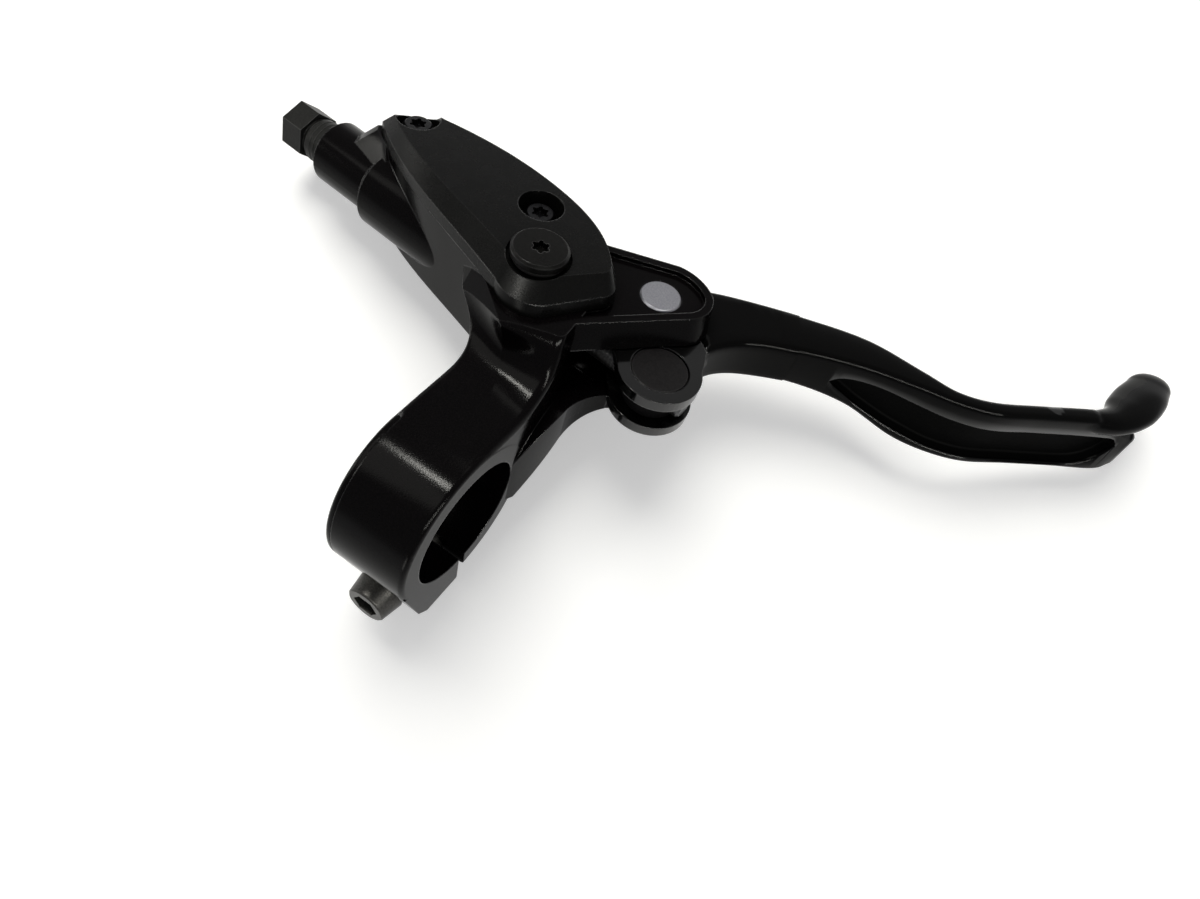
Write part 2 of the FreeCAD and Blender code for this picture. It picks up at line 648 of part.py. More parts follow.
def reservoir_lid():
    lid = lid_loft([(SEAM_Z, 1.0, 1.0), (SEAM_Z + LID_EDGE_H, *LID_SHOULDER), (LID_TOP, *LID_CROWN)])
    hollow = lid_loft([(SEAM_Z, *LID_HOLLOW), (LID_TOP - LID_SKIN, *LID_HOLLOW_TOP)])
    keep = lid_screw_posts(SCREW_HOLE_R + SCREW_LID_WALL, SEAM_Z, LID_TOP)
    keep = keep.fuse(post(BLEED, BLEED_STEM_R + BLEED_BOSS_WALL, SEAM_Z, LID_TOP))
    lid = lid.cut(hollow.cut(keep))
    low_z = SEAM_Z - OVERRUN
    high_z = LID_TOP + OVERRUN
    hole_r = SCREW_R + SCREW_LID_GAP
    for spot in (SCREW_NEAR, SCREW_FAR):
        lid = lid.cut(turned_upright([
            (0, low_z), (hole_r, low_z), (hole_r, LID_FLOOR_Z),
            (SCREW_HOLE_R - END_BREAK, LID_FLOOR_Z), (SCREW_HOLE_R, high_z), (0, high_z)], spot))
    stem_r = BLEED_STEM_R + RUN_GAP
    seat_r = BLEED_R + BLEED_SEAT_GAP
    return lid.cut(turned_upright([
        (0, low_z), (stem_r, low_z), (stem_r, BLEED_SEAT_Z), (seat_r, BLEED_SEAT_Z), (seat_r, high_z),
        (0, high_z)], BLEED))


def lid_screws():
    screws = []
    z0 = LID_FLOOR_Z
    tip_z = z0 - SCREW_L + SCREW_TIP_GAP
    top_z = z0 + SCREW_HEAD_H
    for spot in (SCREW_NEAR, SCREW_FAR):
        screw = turned_upright([
            (0, tip_z), (SCREW_R - EDGE_BREAK, tip_z), (SCREW_R, tip_z + EDGE_BREAK),
            (SCREW_R, z0), (SCREW_HEAD_R, z0), (SCREW_HEAD_R, top_z - END_BREAK),
            (SCREW_HEAD_R - END_BREAK, top_z), (0, top_z)], spot)
        screws.append(screw.cut(torx_cut(spot, top_z, TORX_R)))
    return Part.makeCompound(screws)


def bleed_screw():
    z0 = BLEED_SEAT_Z + O_RING_R * O_RING_SQUASH
    top = z0 + BLEED_HEAD_H
    low = BLEED_SEAT_Z - BLEED_STEM_L
    screw = turned_upright([
        (0, low), (BLEED_STEM_R - EDGE_BREAK, low), (BLEED_STEM_R, low + EDGE_BREAK), (BLEED_STEM_R, z0),
        (BLEED_R - FINE_BREAK, z0), (BLEED_R, z0 + FINE_BREAK), (BLEED_R, top - EDGE_BREAK),
        (BLEED_R - EDGE_BREAK, top), (0, top)], BLEED)
    return screw.cut(torx_cut(BLEED, top, TORX_R))


def bleed_o_ring():
    """Rubber ring pressed flat under the head of the bleed screw."""
    mid_r = BLEED_R - O_RING_R - FINE_BREAK
    flat_z = BLEED_SEAT_Z + O_RING_R * O_RING_SQUASH
    profile = []
    for deg in O_RING_DEG:
        ang = math.radians(deg)
        z = BLEED_SEAT_Z + O_RING_R * (1.0 + math.sin(ang))
        profile.append((mid_r + O_RING_R * math.cos(ang), min(z, flat_z)))
    return turned_upright(profile, BLEED)


def reservoir_diaphragm():
    """Rubber sheet between lid and reservoir."""
    z0 = SEAM_Z - DIAPHRAGM_T
    low_z = z0 - OVERRUN
    high_z = SEAM_Z + OVERRUN
    sheet = lid_loft([(z0, *SHEET), (SEAM_Z, *SHEET)])
    holes = lid_screw_posts(SCREW_R + SCREW_BOSS_WALL + SHEET_HOLE_GAP, low_z, high_z)
    return sheet.cut(holes.fuse(post(BLEED, BLEED_STEM_R + BLEED_BOSS_WALL + SHEET_HOLE_GAP, low_z, high_z)))


def plan_points(points, z):
    return [Vector(x, y, z) for x, y in points]


def lever_point(place, z):
    """Point of the lever from its parts of reach and set."""
    return Vector(PIVOT.x + place[0] * LEVER_REACH, PIVOT.y + place[1] * LEVER_SET, z)


def blade_wire(near, far, drop, sink, ahead=0.0, inset=0.0):
    """Upright cross-section of the blade with rounded corners."""
    low_z = LEVER_LOW + (BLADE_LOW - LEVER_LOW) * drop + inset
    top_z = LEVER_TOP - sink - inset
    start = lever_point(near, 0.0)
    across = lever_point(far, 0.0) - start
    width = across.Length - inset * 2.0
    across.normalize()
    start = start + across * inset + across.cross(UP) * ahead
    r = BLADE_ROUND * width / (width + inset * 2.0)
    bow = r * BOW

    def at(u, z):
        return start + across * u + UP * z

    edges = [line(at(r, low_z), at(width - r, low_z))]
    edges.append(arc(at(width - r, low_z), at(width - bow, low_z + bow), at(width, low_z + r)))
    edges.append(line(at(width, low_z + r), at(width, top_z - r)))
    edges.append(arc(at(width, top_z - r), at(width - bow, top_z - bow), at(width - r, top_z)))
    edges.append(line(at(width - r, top_z), at(r, top_z)))
    edges.append(arc(at(r, top_z), at(bow, top_z - bow), at(0.0, top_z - r)))
    edges.append(line(at(0.0, top_z - r), at(0.0, low_z + r)))
    edges.append(arc(at(0.0, low_z + r), at(bow, low_z + bow), at(r, low_z)))
    return Part.Wire(edges)


def blade():
    """Finger blade lofted along its length, closing to a rounded end."""
    sections = [blade_wire(*row) for row in BLADE_SECTIONS]
    sections += [blade_wire(*BLADE_SECTIONS[-1], ahead, inset) for ahead, inset in BLADE_CAP]
    return Part.makeLoft(sections, True, False)


def blade_pocket():
    """Hollow on the rider's side between the two flanges, closed by a round end."""
    rows = BLADE_SECTIONS[POCKET_FIRST - 1:]
    start = [lever_point(row[0], 0.0) for row in rows]
    deep = [v + POCKET_IN * POCKET_DEPTH for v in start]
    proud = [v + POCKET_OUT * POCKET_DEPTH * 2.0 for v in start]
    edges = [spline(deep), line(deep[-1], proud[-1]), spline(list(reversed(proud))), line(proud[0], deep[0])]
    slab = block(edges, Vector(0, 0, LEVER_TOP))

    def p(part, z):
        return Vector(PIVOT.x + part * LEVER_REACH, 0, z)

    point = p(*POCKET_START)
    mouth = Part.BezierCurve()
    mouth.setPoles([point] + [p(*v) for v in POCKET_MOUTH])
    foot = Part.BezierCurve()
    foot.setPoles([p(*v) for v in POCKET_FOOT] + [point])
    end = [p(*v) for v in POCKET_END]
    side = [mouth.toShape(), line(p(*POCKET_MOUTH[-1]), end[0]), arc(*end)]
    side += [line(end[-1], p(*POCKET_FOOT[0])), foot.toShape()]
    return slab.common(block(side, Vector(0, PIVOT.y + LEVER_SET, 0)))


def squared(share):
    """Sine or cosine drawn out towards a square."""
    return math.copysign(abs(share) ** HOOK_SQUARE, share)


def lever_hook():
    """Rounded finger end that turns away from the rider."""
    rings = []
    for place, heading, half_w, half_h in HOOK_SECTIONS:
        ang = math.radians(heading)
        side = Vector(-math.sin(ang), math.cos(ang), 0)
        centre = lever_point(place, HOOK_MID_Z)
        points = []
        for i in range(HOOK_POINTS):
            turn = math.radians(360.0 / HOOK_POINTS * i)
            out = side * (half_w * squared(math.cos(turn)))
            points.append(centre + out + UP * (half_h * squared(math.sin(turn))))
        loop = Part.BSplineCurve()
        loop.interpolate(points, True)
        rings.append(Part.Wire([loop.toShape()]))
    rings.append(Part.Vertex(lever_point(HOOK_END, HOOK_MID_Z)))
    return Part.makeLoft(rings, True, False)


def lever_blade():
    hub = post(PIVOT, HUB_R, LEVER_LOW, LEVER_TOP)
    fork = post(BARREL, FORK_R, LEVER_LOW, LEVER_TOP)
    link = plan_points(ROOT_LINK, LEVER_LOW)
    edges = [line(link[0], link[1]), line(link[1], link[2]), arc(link[2], link[3], link[4])]
    edges += [line(link[4], link[5]), line(link[5], link[0])]
    root = hub.fuse(fork).fuse(block(edges, Vector(0, 0, LEVER_TOP - LEVER_LOW)))
    slot_at = Vector(PIVOT.x - HUB_R, 0, FORK_MID_Z - FORK_GAP / 2)
    slot = Part.makeBox(LEVER_REACH, FORK_SLOT_Y, FORK_GAP, slot_at)
    finger = blade().cut(blade_pocket())
    lever = root.cut(slot).fuse(finger).fuse(lever_hook())
    low_z = LEVER_LOW - OVERRUN
    high_z = LEVER_TOP + OVERRUN
    lever = lever.cut(post(PIVOT, BUSH_R, low_z, high_z))
    lever = lever.cut(post(BARREL, BARREL_R + RUN_GAP, low_z, high_z))
    return lever.removeSplitter()


def pivot_bushes():
    bushes = []
    for z0 in (LEVER_LOW, LEVER_TOP - BUSH_L):
        sleeve = post(PIVOT, BUSH_R, z0, z0 + BUSH_L)
        bushes.append(sleeve.cut(post(PIVOT, PIN_R + RUN_GAP, z0 - OVERRUN, z0 + BUSH_L + OVERRUN)))
    return Part.makeCompound(bushes)


def pivot_pin():
    groove_top = LOW_ARM_BOTTOM - CLIP_PLAY
    groove_low = groove_top - CLIP_T - CLIP_PLAY
    groove_r = PIN_R - CLIP_GROOVE
    return turned_upright([
        (0, PIN_LOW), (PIN_R - EDGE_BREAK, PIN_LOW), (PIN_R, PIN_LOW + EDGE_BREAK), (PIN_R, groove_low),
        (groove_r, groove_low), (groove_r, groove_top), (PIN_R, groove_top),
        (PIN_R, PIN_TOP - FINE_BREAK), (PIN_R - FINE_BREAK, PIN_TOP), (0, PIN_TOP)], PIVOT)


def pivot_clip():
    """Open spring clip in the groove of the pin."""
    z0 = LOW_ARM_BOTTOM - CLIP_PLAY - CLIP_T - PLAY
    z1 = z0 + CLIP_T
    clip = post(PIVOT, CLIP_R, z0, z1)
    clip = clip.cut(post(PIVOT, PIN_R - CLIP_GROOVE + RUN_GAP, z0 - OVERRUN, z1 + OVERRUN))
    mouth_at = Vector(PIVOT.x, PIVOT.y - CLIP_MOUTH / 2, z0 - OVERRUN)
    return clip.cut(Part.makeBox(CLIP_R * 2, CLIP_MOUTH, CLIP_T + OVERRUN * 2, mouth_at))


def push_barrel():
    z0 = LEVER_LOW + BARREL_DROP
    z1 = LEVER_TOP - BARREL_DROP
    edge_r = BARREL_R - FINE_BREAK
    pin = turned_upright([
        (0, z0), (edge_r, z0), (BARREL_R, z0 + FINE_BREAK), (BARREL_R, z1 - FINE_BREAK), (edge_r, z1),
        (0, z1)], BARREL)
    return pin.cut(round_bar(-BARREL_R * 2, BARREL_R * 2, ROD_R + RUN_GAP))


def push_rod():
    """Threaded rod with a ball end that pushes the piston."""
    neck_s = ROD_BALL_S - math.sqrt(ROD_BALL_R ** 2 - ROD_SHANK_R ** 2)
    profile = [
        (ROD_OUT_S, 0), (ROD_OUT_S, ROD_R - EDGE_BREAK), (ROD_OUT_S + EDGE_BREAK, ROD_R),
        (ROD_THREAD_S - EDGE_BREAK, ROD_R),
        (ROD_THREAD_S, ROD_SHANK_R), (neck_s, ROD_SHANK_R)]
    corners = [Vector(s, r, 0) for s, r in profile]
    end = Vector(ROD_BALL_S + ROD_BALL_R, 0, 0)
    edges = [line(a, b) for a, b in zip(corners, corners[1:])]
    edges += [arc(corners[-1], Vector(ROD_BALL_S, ROD_BALL_R, 0), end), line(end, corners[0])]
    rod = Part.Face(Part.Wire(edges)).revolve(Vector(0, 0, 0), ALONG_X, 360)
    rod.Placement = CYL_PLACE
    return rod


def piston():
    r = BORE_R - PISTON_GAP
    waist = PISTON_WAIST_R
    a_end = SEAL_A_S + SEAL_W
    b_end = SEAL_B_S + SEAL_W
    land_end = a_end + PISTON_LAND
    land_start = SEAL_B_S - PISTON_LAND
    nose_s = PISTON_S1 - PISTON_NOSE_L
    guard_r = r - EDGE_BREAK
    body = turned_on_axis([
        (PISTON_S0, 0), (PISTON_S0, guard_r), (PISTON_S0 + EDGE_BREAK, r), (SEAL_A_S, r), (SEAL_A_S, waist),
        (a_end, waist), (a_end, r), (land_end, r), (land_end + EDGE_BREAK, waist),
        (land_start - EDGE_BREAK, waist), (land_start, r), (SEAL_B_S, r), (SEAL_B_S, waist), (b_end, waist),
        (b_end, guard_r), (nose_s, guard_r), (nose_s, PISTON_NOSE_R), (PISTON_S1, PISTON_NOSE_R),
        (PISTON_S1, 0)])
    seat_r = ROD_BALL_R + SEAT_GAP
    mouth_s = PISTON_S0 - OVERRUN
    cup = Part.makeSphere(seat_r, on_axis(ROD_BALL_S))
    cup = cup.fuse(turned_on_axis([
        (mouth_s, 0), (mouth_s, seat_r + PISTON_MOUTH), (ROD_BALL_S, seat_r), (ROD_BALL_S, 0)]))
    return body.cut(cup)


def seal_cup(s0):
    """Rubber lip seal that sits in a groove of the piston."""
    end = s0 + SEAL_W - CLIP_PLAY
    back = s0 + PLAY
    web_s = s0 + CUP_LIP_T
    inner_r = PISTON_WAIST_R + PLAY
    lip_r = BORE_R - PLAY
    return turned_on_axis([
        (back, inner_r), (back, BORE_R - CUP_BACK_GAP), (end - FINE_BREAK, lip_r), (end, lip_r - EDGE_BREAK),
        (web_s, PISTON_WAIST_R + CUP_LIP_R), (web_s, inner_r)])


def stop_washer():
    s0 = CIRCLIP_S + CIRCLIP_T + CLIP_PLAY + PLAY
    s1 = s0 + WASHER_T
    return round_bar(s0, s1, BORE_R - PLAY).cut(round_bar(s0 - OVERRUN, s1 + OVERRUN, WASHER_HOLE_R))


def circlip():
    """Open spring ring in the groove at the mouth of the bore."""
    s0 = CIRCLIP_S + PLAY
    s1 = s0 + CIRCLIP_T
    outer_r = BORE_R + MOUTH_R_MORE + CIRCLIP_GROOVE - CLIP_PLAY
    ring = round_bar(s0, s1, outer_r)
    ring = ring.cut(round_bar(s0 - OVERRUN, s1 + OVERRUN, outer_r - CIRCLIP_WIDTH))
    gap_at = Vector(s0 - OVERRUN, -CIRCLIP_MOUTH / 2, 0)
    gap = Part.makeBox(CIRCLIP_T + OVERRUN * 2, CIRCLIP_MOUTH, outer_r + OVERRUN, gap_at)
    gap.Placement = CYL_PLACE
    return ring.cut(gap)


def piston_spring():
    s0 = PISTON_S1 - PISTON_NOSE_L + SPRING_WIRE_R
    length = BORE_END_S - SPRING_WIRE_R - CLIP_PLAY - s0
    helix = Part.makeHelix(length / SPRING_TURNS, length, SPRING_R)
    section = []
    for i in range(SPRING_SIDES + 1):
        ang = math.radians(360.0 / SPRING_SIDES * i)
        section.append(Vector(SPRING_R + SPRING_WIRE_R * math.cos(ang), 0, SPRING_WIRE_R * math.sin(ang)))
    coil = Part.Wire(helix.Edges).makePipeShell([Part.makePolygon(section)], True, True)
    lie_down = FreeCAD.Placement(Vector(s0, 0, 0), FreeCAD.Rotation(Vector(0, 1, 0), 90))
    coil.Placement = CYL_PLACE.multiply(lie_down)
    return coil


def hexagon_face(across_flats, start_deg, at):
    """Six-sided face, its corners placed by a given function of two sides."""
    radius = across_flats / math.sqrt(3)
    corners = []
    for i in range(7):
        ang = math.radians(60 * i + start_deg)
        corners.append(at(radius * math.cos(ang), radius * math.sin(ang)))
    return Part.Face(Part.makePolygon(corners))


def hose_nut():
    """Hexagon nut, part screwed in, bored for the hose."""
    s0 = NUT_SEAT_S + NUT_TIP_S
    s1 = CYL_END_S + NUT_GAP_L
    thread_r = NUT_THREAD_R - NUT_THREAD_GAP
    under_r = thread_r - NUT_UNDERCUT
    shank = turned_on_axis([
        (s0, 0), (s0, under_r), (s0 + NUT_UNDERCUT, thread_r), (s1 - NUT_UNDERCUT * 2, thread_r),
        (s1 - NUT_UNDERCUT, under_r), (s1, under_r), (s1, 0)])
    head = hexagon_face(NUT_HEX_AF, NUT_HEX_DEG, lambda a, b: Vector(s1, a, b))
    head = head.extrude(Vector(NUT_HEX_L, 0, 0))
    head.Placement = CYL_PLACE
    return shank.fuse(head).cut(round_bar(NUT_SEAT_S, s1 + NUT_HEX_L + OVERRUN, HOSE_R + HOSE_GAP))


def hose_olive():
    """Compression ring that the nut presses on to the hose."""
    s0 = NUT_SEAT_S - OLIVE_BACK
    s1 = s0 + OLIVE_L
    inner_r = HOSE_R + HOSE_GAP
    outer_r = OLIVE_R - CLIP_PLAY
    return turned_on_axis([
        (s0, inner_r), (s0, inner_r + FINE_BREAK), ((s0 + s1) / 2, outer_r), (s1 - FINE_BREAK, outer_r),
        (s1, inner_r)])


def clamp_bolt():
    """Socket screw across the slit, slightly tapered head on the rider's side."""
    y_seat = BOLT_SEAT_Y
    y_end = y_seat - BOLT_HEAD_L
    y_tip = BOSS_FRONT_Y - END_BREAK
    r = BOLT_D / 2
    profile = [
        (0, y_tip), (r - EDGE_BREAK, y_tip), (r, y_tip - EDGE_BREAK), (r, y_seat), (BOLT_HEAD_R0, y_seat),
        (BOLT_HEAD_R1, y_end + FINE_BREAK), (BOLT_HEAD_R1 - FINE_BREAK, y_end), (0, y_end)]
    corners = [Vector(r, y, 0) for r, y in profile]
    bolt = Part.Face(Part.makePolygon(corners + [corners[0]])).revolve(Vector(0, 0, 0), Vector(0, 1, 0), 360)
    face = hexagon_face(BOLT_SOCKET_AF, 0.0, lambda a, b: Vector(a, y_end - OVERRUN, b))
    bolt = bolt.cut(face.extrude(Vector(0, BOLT_SOCKET_DEPTH + OVERRUN, 0)))
    bolt.translate(Vector(0, 0, BOLT_Z))
    return bolt


def main():
    os.makedirs("parts", exist_ok=True)
    nodes = {
        "master_body": master_body(),
        "reservoir_lid": reservoir_lid(),
        "lid_screws": lid_screws(),
        "bleed_screw": bleed_screw(),
        "bleed_o_ring": bleed_o_ring(),
        "reservoir_diaphragm": reservoir_diaphragm(),
        "lever_blade": lever_blade(),
        "pivot_bushes": pivot_bushes(),
        "pivot_pin": pivot_pin(),
        "pivot_clip": pivot_clip(),
        "push_barrel": push_barrel(),
        "push_rod": push_rod(),
        "piston": piston(),
        "secondary_cup": seal_cup(SEAL_A_S),
        "primary_cup": seal_cup(SEAL_B_S),
        "stop_washer": stop_washer(),
        "circlip": circlip(),
        "piston_spring": piston_spring(),
        "hose_nut": hose_nut(),
        "hose_olive": hose_olive(),
        "clamp_bolt": clamp_bolt(),
    }
    for name, shape in nodes.items():
        shape.exportStep("parts/%s.step" % name)
        print(name, len(shape.Solids), shape.isValid(), round(shape.Volume, 1))


main()
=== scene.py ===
import bisect
import json
import math

import bmesh
import bpy
from mathutils import Matrix, Vector


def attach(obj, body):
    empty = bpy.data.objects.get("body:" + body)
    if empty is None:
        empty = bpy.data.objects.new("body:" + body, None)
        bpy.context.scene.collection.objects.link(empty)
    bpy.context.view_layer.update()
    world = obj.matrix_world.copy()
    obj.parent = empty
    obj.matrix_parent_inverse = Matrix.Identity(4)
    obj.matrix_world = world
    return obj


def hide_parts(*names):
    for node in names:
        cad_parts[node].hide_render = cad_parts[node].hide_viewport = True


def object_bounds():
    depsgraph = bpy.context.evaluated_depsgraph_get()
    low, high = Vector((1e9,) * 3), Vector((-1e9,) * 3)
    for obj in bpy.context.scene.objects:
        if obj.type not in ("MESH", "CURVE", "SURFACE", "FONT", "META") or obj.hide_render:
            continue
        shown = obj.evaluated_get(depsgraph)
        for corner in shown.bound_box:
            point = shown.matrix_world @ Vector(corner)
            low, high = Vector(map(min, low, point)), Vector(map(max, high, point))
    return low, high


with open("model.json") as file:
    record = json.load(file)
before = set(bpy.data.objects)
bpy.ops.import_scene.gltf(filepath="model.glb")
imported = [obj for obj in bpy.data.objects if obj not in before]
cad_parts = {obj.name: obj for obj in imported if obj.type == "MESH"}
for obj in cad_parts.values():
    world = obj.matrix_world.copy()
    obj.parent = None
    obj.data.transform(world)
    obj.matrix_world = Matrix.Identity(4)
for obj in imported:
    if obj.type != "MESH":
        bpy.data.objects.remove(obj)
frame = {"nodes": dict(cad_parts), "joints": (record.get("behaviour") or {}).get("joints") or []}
cad_low, cad_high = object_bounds()

# Units
MM = 0.001

# Camera, as fitted to the photograph
CAMERA_AT = Vector((38.99, -52.88, 107.44)) * MM
CAMERA_RIGHT = Vector((0.823051, 0.529106, 0.206480))
CAMERA_UP = Vector((-0.540814, 0.619018, 0.569505))
CAMERA_BACK = Vector((0.173514, -0.580399, 0.795632))
CAMERA_LENS = 23.854
CAMERA_SENSOR = 36.0

# Table that the part lies on, tilted in the part's own frame
FLOOR_UP = Vector((0.134, -0.383, 0.914)).normalized()
FLOOR_HALF = 0.2
FLOOR_DROP = 0.1 * MM
FLOOR_GREY = 0.82
FLOOR_LIFT = 0.37

# Surroundings: level of the light on matt faces, white walls up to one height
# and a darker ceiling from the other, as sines of the height
ROOM_SOFT = 0.36
WALL_SINE = 0.0
CEILING_SINE = 0.22
CEILING = 0.45

# Lamps round the table: turn from straight ahead (right is positive) and height, in degrees,
# distance, width and depth in metres, power in watts, and whether they make highlights
# (or else the soft light and shadow)
LAMPS = {
    "spark": (-27.0, 60.0, 0.8, (0.06, 0.06), 1.5, True),
    "left_high": (-62.0, 54.0, 0.8, (0.4, 0.4), 1.0, True),
    "left_low": (-71.0, 14.0, 0.8, (0.25, 0.25), 1.2, True),
    "rider": (-140.0, 7.0, 0.8, (0.2, 0.2), 0.7, True),
    "ahead": (15.0, 45.0, 0.8, (0.2, 0.2), 0.2, True),
    "edge": (155.0, 50.0, 0.8, (0.7, 0.05), 6.0, True),
    "top": (-8.0, 56.0, 0.8, (0.45, 0.45), 5.0, False),
}
LAMP_TINT = (1.0, 0.99, 0.93)

# Axis of the master cylinder, from the swivel of the push rod
joints = {joint["name"]: joint for joint in frame["joints"]}
CYL_AT = Vector(joints["barrel_swivel"]["pos_m"])
CYL_DIR = Vector(joints["piston_slide"]["axis"]).normalized()

# Lever: its pivot, reach and set, and other sizes in mm
LEVER_AT = Vector(joints["lever_pivot"]["pos_m"])
LEVER_REACH = 84.0 * MM
LEVER_SET = 59.0 * MM
LEVER_TOP = 17.7
LEVER_LOW = 9.4
BLADE_LOW = 4.2
BLADE_ROUND = 1.1
BLADE_LEAN = 0.8
POCKET_DEPTH = 2.2

# Blade: rider's edge and far edge as parts of reach and set, and how far the underside has come down
BLADE_ROWS = [
    ((0.185, 0.095), (0.095, 0.240), 0.0),
    ((0.274, 0.180), (0.230, 0.320), 0.0),
    ((0.405, 0.267), (0.375, 0.386), 0.32),
    ((0.525, 0.317), (0.505, 0.391), 0.92),
    ((0.605, 0.345), (0.582, 0.391), 1.0),
    ((0.680, 0.392), (0.655, 0.434), 1.0),
    ((0.765, 0.486), (0.742, 0.528), 1.0),
    ((0.860, 0.590), (0.834, 0.632), 1.0),
    ((0.925, 0.657), (0.898, 0.701), 1.0),
    ((0.946, 0.679), (0.920, 0.724), 0.97),
    ((0.958, 0.692), (0.933, 0.737), 0.90),
    ((0.966, 0.700), (0.941, 0.746), 0.72)]
BLADE_ROOT = 1

# Height of the blade's top and number of rings, each up to a part of the reach
BLADE_FALL = [(0.0, LEVER_TOP), (0.872, LEVER_TOP), (0.962, 14.0)]
BLADE_STEPS = [(0.352, 10), (0.42, 28), (0.88, 56), (BLADE_ROWS[-1][0][0], 36)]

# Rings inside the root and past the end: mm ahead of the first or last ring, and inset
BLADE_ENTRY = [(-3.0, 0.06), (-1.6, 0.03), (-0.6, -0.006), (0.0, -0.006)]
BLADE_CAP = [(0.5, 0.12), (0.95, 0.35), (1.3, 0.7), (1.5, 1.1), (1.56, 1.4)]

# Hollow on the rider's side: upper and lower edge as (part of reach, height)
POCKET_MOUTH = [(0.355, 12.4), (0.372, 13.4), (0.40, 14.0), (0.46, 14.15), (0.54, 13.6), (0.62, 13.35),
                (0.70, 13.3), (0.905, 13.3), (0.93, 12.9), (0.945, 11.4)]
POCKET_FOOT = [(0.355, 12.4), (0.372, 11.3), (0.395, 10.2), (0.43, 8.8), (0.51, 6.9), (0.59, 6.05),
               (0.66, 5.85), (0.74, 5.6), (0.80, 5.5), (0.87, 5.6), (0.905, 6.3), (0.93, 8.3), (0.945, 11.4)]

# Faces of a ring that line the hollow, which get a darker matt finish as painted shade, height at which it
# is fully deep, and its lip as (mm below the edge, part of the depth)
POCKET_FACES = range(26, 36)
POCKET_SLOPE = 1.6
POCKET_LIP = [(-0.3, 0.0), (-0.08, 0.08), (0.0, 0.3), (0.12, 0.8), (0.3, 0.96), (0.6, 1.0)]

# Hooked end: place, heading and roll in degrees, half width, half height
HOOK_ROWS = [
    ((0.838, 0.601), 36.0, 0.0, 1.5, 2.0),
    ((0.900, 0.676), 45.0, 3.0, 2.8, 2.1),
    ((0.930, 0.762), 70.0, 12.0, 4.2, 2.3),
    ((0.947, 0.848), 78.0, 16.0, 4.4, 2.3),
    ((0.958, 0.918), 80.0, 16.0, 3.8, 2.0)]
HOOK_END = (0.966, 0.994)
HOOK_MID_Z = 15.6
HOOK_SQUARE = 0.92
HOOK_STEPS = 40
HOOK_CAP_STEPS = 12
HOOK_AROUND = 40

# Points closer than this are joined, first in the solid's root and then in the whole lever
ROOT_JOIN = 0.0005 * MM
LEVER_JOIN = 0.002 * MM

# Edges of the lever that turn more than this stay sharp
SHARP_ANGLE = math.radians(35.0)

# Rounded rim of the clamp ring, on the side away from the lever, in mm and degrees
RIM_X = -7.2
RIM_R = 14.9
RIM_ROUND = 0.8
RIM_PROUD = 0.012
RIM_OVERLAP = 0.3
RIM_STEPS = 120
RIM_ARC_STEPS = 10
RIM_TURNS = (60.0, 197.0)

# Threads: distances along the cylinder axis, sizes, and points around and per turn
NUT_THREAD_FROM = 73.6 * MM
NUT_THREAD_TO = 77.6 * MM
NUT_THREAD_R = 4.05 * MM
NUT_THREAD_PITCH = 1.0 * MM
NUT_THREAD_DEPTH = 0.5 * MM
ROD_THREAD_FROM = -5.6 * MM
ROD_THREAD_TO = 14.1 * MM
ROD_THREAD_R = 1.99 * MM
ROD_THREAD_PITCH = 0.7 * MM
ROD_THREAD_DEPTH = 0.25 * MM
THREAD_AROUND = 64
THREAD_ROWS = 12

# Gloss on open faces and on edges (partly rubbed wear, partly painted sheen), where edges and hollows begin
# and are full, and the gloss left deep in hollows as painted shade
PAINT_GLOSS = (0.055, 0.5)
PLASTIC_GLOSS = (0.09, 0.6)
EDGE_TURN = (0.995, 0.85)
EDGE_POINT = (0.532, 0.57)
HOLLOW_OPEN = (0.35, 0.85)
HOLLOW_DULL = 0.1
HOLLOW_REACH = 5.0 * MM


def link(tree, a, b):
    tree.links.new(a, b)


